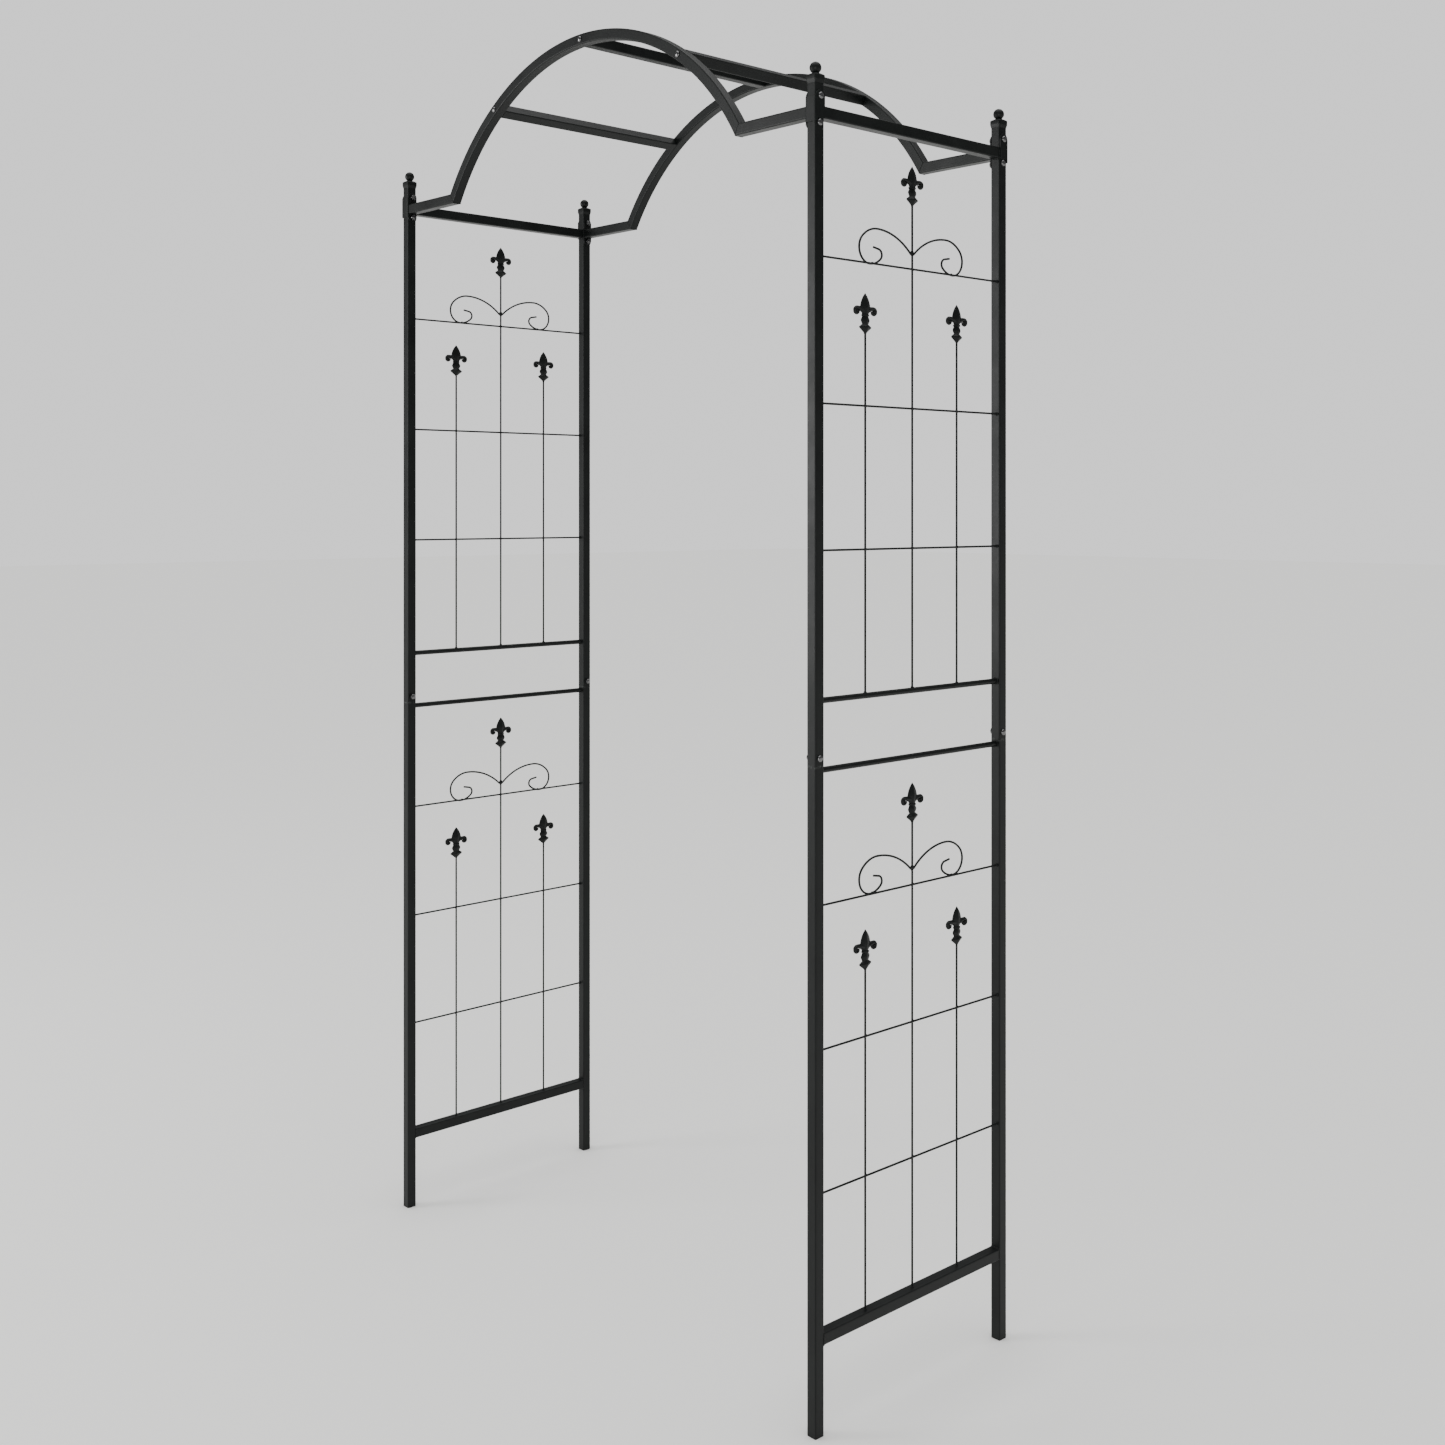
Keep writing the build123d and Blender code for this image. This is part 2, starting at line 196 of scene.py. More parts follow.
class TrellisFinish(bpy.types.PropertyGroup):
    """Colours of the finishes, and the size of the coat's ripple."""

    coat: colour_setting("Powder coat", "Colour of the powder coat", "#0e1010")
    coat_light: colour_setting("Powder coat, thin", "Colour of the powder coat where it lies thinner", "#171a19")
    scuff: colour_setting("Scuff", "Colour of the coat where it has been rubbed", "#6d716f")
    zinc: colour_setting("Blackened zinc", "Colour of the bolts, screws and nuts", "#19191b")
    plug: colour_setting("Plug", "Colour of the moulded plugs", "#141415")
    grain: FloatProperty(name="Orange peel", description="Size of the coat's ripple, in mm", default=4.0)


class TrellisStage(bpy.types.PropertyGroup):
    """Floor and light."""

    floor: colour_setting("Floor", "Colour of the floor", "#f4f4f2")
    key: FloatProperty(name="Key light", description="Strength of the soft light overhead", default=3.0)
    side: FloatProperty(name="Side light", description="Power of the upright panel", default=150.0, subtype="POWER")
    fill: FloatProperty(name="Fill light", description="Power of the lamp by the camera", default=40.0, subtype="POWER")
    backdrop: FloatProperty(name="Backdrop", description="Brightness of the plain backdrop", default=1.1)
    room: FloatProperty(name="Room", description="Brightness of the room that the arch reflects", default=0.25)


# ---------------------------------------------------------------- materials


def add_node(tree, kind, settings=None, **links):
    """Adds one node. Settings are its properties or input values by name, and links are sockets for its inputs."""
    node = tree.nodes.new(kind)
    for key, value in (settings or {}).items():
        if isinstance(key, int) or key in node.inputs:
            node.inputs[key].default_value = value
        else:
            setattr(node, key, value)
    for key, socket in links.items():
        name = key.replace("_", " ")
        tree.links.new(socket, node.inputs[int(key[1:]) if key[0] == "i" and key[1:].isdigit() else name])
    return node


def new_material(name, **shader):
    """An empty material with one shader, and the object coordinates that its patterns read."""
    material = bpy.data.materials.new(name)
    material.use_nodes = True
    tree = material.node_tree
    tree.nodes.clear()
    surface = add_node(tree, "ShaderNodeBsdfPrincipled", shader)
    add_node(tree, "ShaderNodeOutputMaterial", Surface=surface.outputs["BSDF"])
    place = add_node(tree, "ShaderNodeTexCoord").outputs["Object"]
    return material, tree, surface, place


def noise(tree, place, grain, detail, roughness):
    """Noise over the surface, with its broadest patches about one grain across. The grain is in millimetres."""
    settings = {"Scale": 1 / (grain * MM), "Detail": detail, "Roughness": roughness}
    return add_node(tree, "ShaderNodeTexNoise", settings, Vector=place).outputs["Fac"]


def span(tree, value, to_low, to_high, low=0.0, high=1.0):
    """The value's run from low to high, stretched to run from to_low to to_high."""
    settings = {"From Min": low, "From Max": high, "To Min": to_low, "To Max": to_high}
    return add_node(tree, "ShaderNodeMapRange", settings, Value=value).outputs["Result"]


def dress(tree, surface, colour, gloss, height, strength, depth):
    """Gives the shader its colour and roughness, and a bump from the height. The depth is in millimetres."""
    bump = add_node(tree, "ShaderNodeBump", {"Strength": strength, "Distance": depth * MM}, Height=height)
    for name, socket in (("Base Color", colour), ("Roughness", gloss), ("Normal", bump.outputs["Normal"])):
        tree.links.new(socket, surface.inputs[name])


def powder_coat(name, rubbed_at=None):
    """Polyester powder coat baked on mild steel tube.

    It is satin black with a faint green-grey cast. The melted powder leaves a low ripple, called orange peel, and
    lies a little thinner and duller in places. Real ripple is about 1.5 mm across, and is drawn coarser to show.
    """
    look = bpy.context.scene.trellis_finish
    material, tree, surface, place = new_material(
        name, **{"Metallic": 0.0, "IOR": 1.45, "Specular IOR Level": 0.2, "Roughness": 0.36}
    )
    patch = noise(tree, place, 70, 3.0, 0.6)
    speck = noise(tree, place, 6, 4.0, 0.7)
    both = add_node(tree, "ShaderNodeMath", {"operation": "MULTIPLY_ADD", 1: 0.35}, i0=speck, i2=patch).outputs[0]
    shade = span(tree, both, 0.0, 1.0, 0.45, 0.95)
    tones = {"data_type": "RGBA", 6: (*look.coat, 1), 7: (*look.coat_light, 1)}
    colour = add_node(tree, "ShaderNodeMix", tones, i0=shade).outputs[2]
    if rubbed_at is not None:
        height = add_node(tree, "ShaderNodeSeparateXYZ", Vector=place).outputs["Z"]
        away = add_node(tree, "ShaderNodeMath", {"operation": "SUBTRACT", 1: rubbed_at * MM}, i0=height).outputs[0]
        apart = add_node(tree, "ShaderNodeMath", {"operation": "ABSOLUTE"}, i0=away).outputs[0]
        near = span(tree, apart, 0.62, 0.0, 1 * MM, 14 * MM)
        marks = noise(tree, place, 5, 6.0, 0.8)
        worn = add_node(tree, "ShaderNodeMath", {"operation": "MULTIPLY"}, i0=near, i1=marks).outputs[0]
        rub = span(tree, worn, 0.0, 0.75, 0.30, 0.44)
        bare = {"data_type": "RGBA", 7: (*look.scuff, 1)}
        colour = add_node(tree, "ShaderNodeMix", bare, i0=rub, i6=colour).outputs[2]
    peel = noise(tree, place, look.grain, 2.0, 0.5)
    dress(tree, surface, colour, span(tree, both, 0.33, 0.45, 0.45, 0.95), peel, 0.10, 0.3)
    return material


def blackened_zinc(name):
    """Black zinc-nickel plating on a cold-headed steel bolt: glossier than the coat, with fine tool marks."""
    look = bpy.context.scene.trellis_finish
    material, tree, surface, place = new_material(name, **{"Metallic": 0.0, "IOR": 2.2, "Roughness": 0.17})
    mark = noise(tree, place, 2, 5.0, 0.7)
    tones = {"data_type": "RGBA", 6: (*[0.7 * c for c in look.zinc], 1), 7: (*[1.5 * c for c in look.zinc], 1)}
    colour = add_node(tree, "ShaderNodeMix", tones, i0=mark).outputs[2]
    dress(tree, surface, colour, span(tree, mark, 0.12, 0.22), mark, 0.08, 0.1)
    return material


def moulded_polypropylene(name):
    """Injection-moulded polypropylene: matte, with a fine spark-eroded texture and faint flow clouds."""
    look = bpy.context.scene.trellis_finish
    material, tree, surface, place = new_material(name, **{"Metallic": 0.0, "IOR": 1.49, "Roughness": 0.6})
    cloud = noise(tree, place, 12, 3.0, 0.6)
    tones = {"data_type": "RGBA", 6: (*look.plug, 1), 7: (*[1.6 * c for c in look.plug], 1)}
    colour = add_node(tree, "ShaderNodeMix", tones, i0=cloud).outputs[2]
    spark = noise(tree, place, 0.8, 2.0, 0.5)
    dress(tree, surface, colour, span(tree, cloud, 0.5, 0.68), spark, 0.15, 0.1)
    return material


MATERIALS = {
    "powder coat on steel tube": powder_coat,
    "powder coat rubbed at the joint": lambda name: powder_coat(name, rubbed_at=SEAM_Z),
    "black zinc on steel": blackened_zinc,
    "moulded polypropylene": moulded_polypropylene,
}


def finish_of(name):
    """The named material, made the first time it is asked for."""
    return bpy.data.materials.get(name) or MATERIALS[name](name)


# ---------------------------------------------------------------- surfaces


def rounded_loop(wide, high, corner, turns=7, margin=0.5):
    """Points round a rectangle with rounded corners, anticlockwise.

    Each corner is a quarter circle, c + r (cos a, sin a). A point on the straight next to each end of it keeps the
    flat sides shading flat.
    """
    angle = np.linspace(0, np.pi / 2, turns)
    points = []
    for quarter, (sx, sy) in enumerate(((1, 1), (-1, 1), (-1, -1), (1, -1))):
        turn = angle + quarter * np.pi / 2
        centre = np.array([sx * (wide / 2 - corner), sy * (high / 2 - corner)])
        arc = centre + corner * np.stack([np.cos(turn), np.sin(turn)], 1)
        before = np.array([np.sin(turn[0]), -np.cos(turn[0])])
        after = np.array([-np.sin(turn[-1]), np.cos(turn[-1])])
        room = [min(margin, (side / 2 - corner) * 0.5) for side in ((high, wide) if quarter % 2 == 0 else (wide, high))]
        points += [arc[:1] + before * room[0], arc, arc[-1:] + after * room[1]]
    return np.concatenate(points)


def round_loop(radius, count=20):
    """Points round a circle, anticlockwise."""
    turn = np.linspace(0, 2 * np.pi, count, endpoint=False)
    return radius * np.stack([np.cos(turn), np.sin(turn)], 1)


def carry(path, across, up, loops):
    """A profile carried along a path: point + u * across + v * up at each station, for each (u, v) of its loop."""
    path, across, up = (np.atleast_2d(np.asarray(a, float)) for a in (path, across, up))
    loops = np.asarray(loops, float)
    if loops.ndim == 2:
        loops = np.broadcast_to(loops, (len(path), *loops.shape))
    return path[:, None] + loops[..., :1] * across[:, None] + loops[..., 1:] * up[:, None]


def shell(grid, ring=False):
    """(points, quads, triangles) of a closed surface over a grid of stations by profile points.

    The profile is closed. The stations close on themselves when ring is set, and otherwise each end is closed with a
    fan to its middle. Faces are turned round when the volume comes out negative.
    """
    stations, count = grid.shape[:2]
    index = np.arange(stations * count).reshape(stations, count)
    points = grid.reshape(-1, 3)
    if ring:
        index = np.concatenate([index, index[:1]])
    here, along = index[:-1], index[1:]
    quads = np.stack([here, np.roll(here, -1, 1), np.roll(along, -1, 1), along], -1).reshape(-1, 4)
    fans = np.zeros((0, 3), int)
    if not ring:
        points = np.concatenate([points, grid[:1].mean(1), grid[-1:].mean(1)])
        first, last = index[0], index[-1]
        start = np.stack([np.roll(first, -1), first, np.full(count, stations * count)], -1)
        end = np.stack([last, np.roll(last, -1), np.full(count, stations * count + 1)], -1)
        fans = np.concatenate([start, end])
    tri = np.concatenate([quads[:, [0, 1, 2]], quads[:, [0, 2, 3]], fans])
    a, b, c = points[tri[:, 0]], points[tri[:, 1]], points[tri[:, 2]]
    if np.einsum("ij,ij->i", a, np.cross(b, c)).sum() < 0:
        quads, fans = quads[:, ::-1], fans[:, ::-1]
    return points, quads, fans


def tube_shell(path, across, up, outer, inner, ends=None):
    """An open tube: its outer skin goes out along the path and its inner skin comes back, as one closed surface."""
    out, back = carry(path, across, up, outer), carry(path, across, up, inner)
    if ends:
        for skin in (out, back):
            for station, (along, origin, normal) in ends.items():
                reach = ((origin - skin[station]) @ normal) / (along @ normal)
                skin[station] += reach[:, None] * along
    return shell(np.concatenate([out, back[::-1]]), ring=True)


def add_piece(name, shells, material, slot, *nodes, smooth=38):
    """Joins the shells into one mesh at the origin, and hides the frame nodes that it stands for."""
    points, faces, start = [], [], 0
    for shell_points, quads, fans in shells:
        points.append(shell_points)
        faces += (quads + start).tolist() + (fans + start).tolist()
        start += len(shell_points)
    mesh = bpy.data.meshes.new(name)
    mesh.from_pydata((np.concatenate(points) * MM).tolist(), [], faces)
    mesh.polygons.foreach_set("use_smooth", np.ones(len(faces), bool))
    mesh.set_sharp_from_angle(angle=np.radians(smooth))
    mesh.materials.append(finish_of(material))
    piece = bpy.data.objects.new(name, mesh)
    bpy.context.scene.collection.objects.link(piece)
    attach(piece, "root")
    if nodes:
        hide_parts(*nodes)
    return piece


COAT = ("powder coat on steel tube", "black_powder_coat")
POST_COAT = ("powder coat rubbed at the joint", "black_powder_coat")
ZINC = ("black zinc on steel", "blackened_fastener")


def square_loops():
    """Outer and inner loop of the square tube."""
    size = bpy.context.scene.trellis_sizes
    bore = TUBE - 2 * size.wall
    return rounded_loop(TUBE, TUBE, size.corner), rounded_loop(bore, bore, size.corner - size.wall)


def straight_tube(start, end, across, up, loops):
    """Open tube between two points, with softened rims at both ends."""
    start, end = np.array(start, float), np.array(end, float)
    along = (end - start) / np.linalg.norm(end - start)
    rim = 0.25
    path = [start, start + rim * along, end - rim * along, end]
    outer, inner = loops
    shrink = 1 - 2 * rim / np.ptp(outer[:, 0])
    outers = np.stack([outer * shrink, outer, outer, outer * shrink])
    return tube_shell(path, [across] * 4, [up] * 4, outers, inner)


def crossbar_frame(angle):
    """Across and outward directions of a crossbar that lies square to the bow."""
    return np.array([np.cos(angle), 0, -np.sin(angle)]), np.array([np.sin(angle), 0, np.cos(angle)])


def bow_point(angle, y):
    """Point on the bow's centre line: a circle of the bow's radius, from the apex."""
    return np.array([BOW_RADIUS * np.sin(angle), y, BOW_CENTRE_Z + BOW_RADIUS * np.cos(angle)])


# ---------------------------------------------------------------- operators


class TRELLIS_OT_posts(bpy.types.Operator):
    """Builds the lower and upper lengths of the four posts"""

    bl_idname = "trellis.posts"
    bl_label = "Posts"

    def execute(self, context):
        loops = square_loops()
        for end, side in CORNERS:
            x, y = SIDES[side] * HALF_X, ENDS[end] * HALF_Y
            for level, low, high in (("lower", 0.0, SEAM_Z), ("upper", SEAM_Z, POST_TOP)):
                tube = straight_tube((x, y, low), (x, y, high), (1, 0, 0), (0, 1, 0), loops)
                node = f"post_{level}_{end}_{side}"
                add_piece(f"coated_{node}", [tube], *POST_COAT, node)
        return {"FINISHED"}


class TRELLIS_OT_rails(bpy.types.Operator):
    """Builds the square and round rails of both sides"""

    bl_idname = "trellis.rails"
    bl_label = "Rails"

    def execute(self, context):
        square = square_loops()
        pipe = (round_loop(ROUND_RAIL / 2, 28), round_loop(ROUND_RAIL / 2 - ROUND_RAIL_WALL, 28))
        for side, out_x in SIDES.items():
            rails = {"bottom_rail": (BOTTOM_RAIL_Z, square), "side_top_rail": (TOP_RAIL_Z, square)}
            rails |= {name: (z, pipe) for name, z in ROUND_RAILS.items()}
            for name, (z, loops) in rails.items():
                x = out_x * HALF_X
                tube = straight_tube((x, -INNER_Y, z), (x, INNER_Y, z), (1, 0, 0), UP, loops)
                add_piece(f"coated_{name}_{side}", [tube], *COAT, f"{name}_{side}")
        return {"FINISHED"}


class TRELLIS_OT_bows(bpy.types.Operator):
    """Builds the two bows and their level shoulders, which meet in a mitre"""

    bl_idname = "trellis.bows"
    bl_label = "Bows"

    def execute(self, context):
        outer, inner = square_loops()
        angle = np.linspace(-MITRE_ANGLE, MITRE_ANGLE, 97)
        outward = np.stack([np.sin(angle), 0 * angle, np.cos(angle)], 1)
        across = np.tile([0.0, 1.0, 0.0], (len(angle), 1))
        half = MITRE_ANGLE / 2
        for end, out_y in ENDS.items():
            y = out_y * HALF_Y
            cuts = {}
            for station, out_x in ((0, -1), (-1, 1)):
                origin = np.array([out_x * MITRE_X, y, TOP_RAIL_Z])
                normal = np.array([out_x * np.cos(half), 0, -np.sin(half)])
                along = np.array([out_x * np.cos(MITRE_ANGLE), 0, -np.sin(MITRE_ANGLE)])
                cuts[station] = (along, origin, normal)
            path = np.stack([bow_point(a, y) for a in angle])
            bow = tube_shell(path, across, outward, outer, inner, cuts)
            add_piece(f"coated_arch_bow_{end}", [bow], *COAT, f"arch_bow_{end}")
            for side, out_x in SIDES.items():
                origin, normal = cuts[0 if out_x < 0 else -1][1:]
                start = np.array([out_x * (HALF_X - TUBE / 2 - PLATE), y, TOP_RAIL_Z])
                ends = {-1: (np.array([1.0, 0, 0]), origin, normal)}
                path = [start, origin + (out_x * 8.0, 0, 0), origin]
                arm = tube_shell(path, [(0, 1, 0)] * 3, [UP] * 3, outer, inner, ends)
                node = f"arch_shoulder_{end}_{side}"
                add_piece(f"coated_{node}", [arm], *COAT, node)
        return {"FINISHED"}


class TRELLIS_OT_crossbars(bpy.types.Operator):
    """Builds the three crossbars, each turned to lie square to the bow"""

    bl_idname = "trellis.crossbars"
    bl_label = "Crossbars"

    def execute(self, context):
        loops = square_loops()
        for name, way in CROSSBARS.items():
            angle = way * CROSSBAR_ANGLE
            across, outward = crossbar_frame(angle)
            bar = straight_tube(bow_point(angle, -INNER_Y), bow_point(angle, INNER_Y), across, outward, loops)
            add_piece(f"coated_crossbar_{name}", [bar], *COAT, f"crossbar_{name}")
        return {"FINISHED"}


def capped_rod(path, across, up, radius, nose=0.5):
    """Solid round rod along a path, with its two ends rounded off over a short nose."""
    path = np.asarray(path, float)
    first, last = path[1] - path[0], path[-1] - path[-2]
    first, last = first / np.linalg.norm(first), last / np.linalg.norm(last)
    steps = np.sin(np.linspace(0, np.pi / 2, 5))
    lead = path[0] + first * (1 - np.sqrt(1 - steps**2))[:, None] * nose
    tail = path[-1] - last * (1 - np.sqrt(1 - steps[::-1] ** 2))[:, None] * nose
    path = np.concatenate([lead, path[1:-1], tail])
    count = len(steps)
    size = np.concatenate([steps, np.ones(len(path) - 2 * count), steps[::-1]])
    size = radius - nose * (1 - size)
    across = np.concatenate([[across[0]] * count, across[1:-1], [across[-1]] * count])
    up = np.concatenate([[up[0]] * count, up[1:-1], [up[-1]] * count])
    return shell(carry(path, across, up, size[:, None, None] * round_loop(1.0, 16)))


class TRELLIS_OT_rods_and_wires(bpy.types.Operator):
    """Builds the upright rods and the level wires of the trellis sides"""

    bl_idname = "trellis.rods_and_wires"
    bl_label = "Rods and wires"

    def execute(self, context):
        x_way, y_way = np.array([1.0, 0, 0]), np.array([0, 1.0, 0])
        for side, out_x in SIDES.items():
            x = out_x * HALF_X
            for level, heights in WIRE_HEIGHTS.items():
                rods, wires = [], []
                for column, base in zip((-1, 0, 1), FLEUR_BASES[level]):
                    z = np.linspace(ROD_FEET[level], base + ROD_SOCKET, 9)
                    path = np.stack([np.full(9, x), np.full(9, column * ROD_PITCH), z], 1)
                    rods.append(capped_rod(path, [x_way] * 9, [y_way] * 9, WIRE / 2, 0.1))
                for z in heights:
                    y = np.linspace(-INNER_Y, INNER_Y, 9)
                    path = np.stack([np.full(9, x + out_x * WIRE), y, np.full(9, z)], 1)
                    wires.append(capped_rod(path, [x_way] * 9, [UP] * 9, WIRE / 2, 0.1))
                add_piece(f"coated_{level}_rods_{side}", rods, *COAT, f"{level}_rods_{side}", smooth=60)
                add_piece(f"coated_{level}_wires_{side}", wires, *COAT, f"{level}_wires_{side}", smooth=60)
        return {"FINISHED"}


def scroll_line(points_per_degree=0.22):
    """Points and headings of the scroll in its own plane: five arcs, each turning clockwise, and a straight tail."""
    heading = np.radians(SCROLL_ARCS[0][1])
    point = np.array(SCROLL_START, float)
    points, headings = [point[None]], [np.array([heading])]
    for radius, turn in SCROLL_ARCS:
        steps = max(4, int(turn * points_per_degree * max(1.0, radius / 40)))
        bend = heading - np.radians(turn) * np.arange(1, steps + 1) / steps
        centre = point + radius * np.array([np.sin(heading), -np.cos(heading)])
        arc = centre + radius * np.stack([-np.sin(bend), np.cos(bend)], 1)
        points.append(arc)
        headings.append(bend)
        point, heading = arc[-1], bend[-1]
    tail = point + SCROLL_TAIL * np.array([[0.5], [1.0]]) * np.array([np.cos(heading), np.sin(heading)])
    points.append(tail)
    headings.append(np.array([heading, heading]))
    return np.concatenate(points), np.concatenate(headings)


class TRELLIS_OT_scrolls(bpy.types.Operator):
    """Builds the wire scrolls on each side of the middle rods"""

    bl_idname = "trellis.scrolls"
    bl_label = "Scrolls"

    def execute(self, context):
        line, heading = scroll_line()
        for side, out_x in SIDES.items():
            x = out_x * HALF_X
            for level, heights in WIRE_HEIGHTS.items():
                scrolls = []
                for way in (-1, 1):
                    path = np.stack([np.full(len(line), x), way * line[:, 0], heights[-1] + line[:, 1]], 1)
                    square_to = np.stack([0 * heading, -way * np.sin(heading), np.cos(heading)], 1)
                    across = np.tile([1.0, 0, 0], (len(line), 1))
                    scrolls.append(capped_rod(path, across, square_to, WIRE / 2))
                add_piece(f"coated_{level}_scrolls_{side}", scrolls, *COAT, f"{level}_scrolls_{side}", smooth=60)
        return {"FINISHED"}


def petal(line, half_wide, half_thick, ridge=1.5, count=24):
    """A leaf of metal along a line in the panel's plane.

    The section at each station is the loop (w cos a |cos a|^(k-1), t sin a |sin a|^(k-1)). At k = 1 it is an
    ellipse and at k = 2 a rhombus, so k sets how sharp its ridge is. The line, width and thickness are smoothed
    from a few stations by a cubic through them.
    """
    line = np.asarray(line, float)
    knots = np.linspace(0, 1, len(line))
    fine = np.linspace(0, 1, 8 * len(line))
    u, v, wide, thick = (smooth_through(knots, c, fine) for c in (*line.T, half_wide, half_thick))
    slope = np.stack([np.gradient(u), np.gradient(v)], 1)
    slope /= np.linalg.norm(slope, axis=1)[:, None]
    turn = np.linspace(0, 2 * np.pi, count, endpoint=False)
    cos, sin = np.cos(turn), np.sin(turn)
    loops = np.stack(
        [
            wide[:, None] * cos * np.abs(cos) ** (ridge - 1),
            thick[:, None] * sin * np.abs(sin) ** (ridge - 1),
        ],
        -1,
    )
    path = np.stack([0 * u, u, v], 1)
    across = np.stack([0 * u, slope[:, 1], -slope[:, 0]], 1)
    up = np.tile([1.0, 0, 0], (len(u), 1))
    return carry(path, across, up, loops)


def smooth_through(knots, values, at):
    """Cubic Hermite curve through the values, with slopes that never overshoot them."""
    knots, values = np.asarray(knots, float), np.asarray(values, float)
    step = np.diff(values) / np.diff(knots)
    inner = np.where(step[:-1] * step[1:] > 0, 2 * step[:-1] * step[1:] / (step[:-1] + step[1:] + 1e-12), 0.0)
    slope = np.concatenate([step[:1], inner, step[-1:]])
    cell = np.clip(np.searchsorted(knots, at) - 1, 0, len(knots) - 2)
    wide = np.diff(knots)[cell]
    t = (at - knots[cell]) / wide
    h00, h10 = 2 * t**3 - 3 * t**2 + 1, t**3 - 2 * t**2 + t
    h01, h11 = -2 * t**3 + 3 * t**2, t**3 - t**2
    return h00 * values[cell] + h10 * wide * slope[cell] + h01 * values[cell + 1] + h11 * wide * slope[cell + 1]


def fleur_grids():
    """The parts of one finial about its own base: knop, stem, collar, leaf, and two petals that curl into an eye."""
    knop = petal(
        [(0, 0), (0, 4.5), (0, 9.3), (0, 12.5), (0, 15.2)], [2.4, 8.6, 14.5, 10.6, 6.2], [2.4, 4.2, 6.0, 4.6, 3.4], 1.75
    )
    stem = petal(
        [(0, 13.6), (0, 16.8), (0, 20.6), (0, 24.5), (0, 28.5)],
        [6.6, 8.9, 10.5, 8.8, 6.4],
        [2.9, 3.5, 3.9, 3.4, 3.0],
        1.6,
    )
    collar = petal([(0, 26.6), (0, 27.6), (0, 29.4), (0, 30.4)], [6.4, 8.0, 8.0, 6.4], [3.4, 4.9, 4.9, 3.4], 1.1)
    leaf = petal(
        [(0, 28.5), (0, 34.0), (0, 42.0), (0, 50.0), (0, 57.5), (0, 64.0)],
        [6.6, 9.6, 11.85, 9.9, 5.8, 0.25],
        [2.9, 4.0, 4.9, 4.1, 2.8, 0.3],
        1.65,
    )
    curl = np.linspace(np.pi / 2, -np.pi * 1.05, 9)
    radius = np.linspace(5.2, 3.9, 9)
    eye = np.array([19.6, 34.8])
    arm = [(2.0, 35.5), (7.5, 37.6), (13.5, 39.2)]
    volute = arm + [tuple(eye + r * np.array([np.cos(a), np.sin(a)])) for a, r in zip(curl, radius)]
    wide = [5.2, 4.8, 3.7] + list(np.linspace(3.0, 1.7, 9))
    thick = [3.0, 3.4, 3.6] + list(np.linspace(3.5, 2.6, 9))
    petals = petal(volute, wide, thick, 1.25)
    a = np.linspace(-np.pi / 2, np.pi / 2, 13)
    ball = carry(
        np.stack([2.9 * np.sin(a), np.full(13, eye[0]), np.full(13, eye[1])], 1),
        np.tile([0, 1.0, 0], (13, 1)),
        np.tile([0, 0, 1.0], (13, 1)),
        (2.6 * np.cos(a) + 1e-3)[:, None, None] * round_loop(1.0, 20),
    )
    flip = np.array([1.0, -1.0, 1.0])
    return [knop, stem, collar, leaf, petals, petals * flip, ball, ball * flip]


class TRELLIS_OT_finials(bpy.types.Operator):
    """Builds the fleur-de-lis finials on top of the rods"""

    bl_idname = "trellis.finials"
    bl_label = "Finials"

    def execute(self, context):
        grids = fleur_grids()
        for side, out_x in SIDES.items():
            for level, bases in FLEUR_BASES.items():
                shells = []
                for column, base in zip((-1, 0, 1), bases):
                    place = np.array([out_x * HALF_X, column * ROD_PITCH, base])
                    shells += [shell(grid + place) for grid in grids]
                add_piece(f"cast_{level}_fleurs_{side}", shells, *COAT, f"{level}_fleurs_{side}")
        return {"FINISHED"}


class TRELLIS_OT_post_caps(bpy.types.Operator):
    """Builds the post caps: a square rim that closes in to a neck, and a ball"""

    bl_idname = "trellis.post_caps"
    bl_label = "Post caps"

    def execute(self, context):
        ball = BALL_RADIUS
        start = -np.arccos(NECK_RADIUS / ball)
        rows = CAP_ROWS + [
            (BALL_HEIGHT + ball * np.sin(a), 2 * ball * np.cos(a), ball * np.cos(a))
            for a in np.linspace(start, 1.54, 24)
        ]
        loops = np.stack([rounded_loop(size, size, corner) for _, size, corner in rows])
        heights = np.array([row[0] for row in rows])
        for end, side in CORNERS:
            path = np.tile([SIDES[side] * HALF_X, ENDS[end] * HALF_Y, POST_TOP], (len(rows), 1))
            path[:, 2] += heights
            grid = carry(path, np.tile([1.0, 0, 0], (len(rows), 1)), np.tile([0, 1.0, 0], (len(rows), 1)), loops)
            node = f"post_cap_{end}_{side}"
            add_piece(f"cast_{node}", [shell(grid)], *COAT, node)
        return {"FINISHED"}


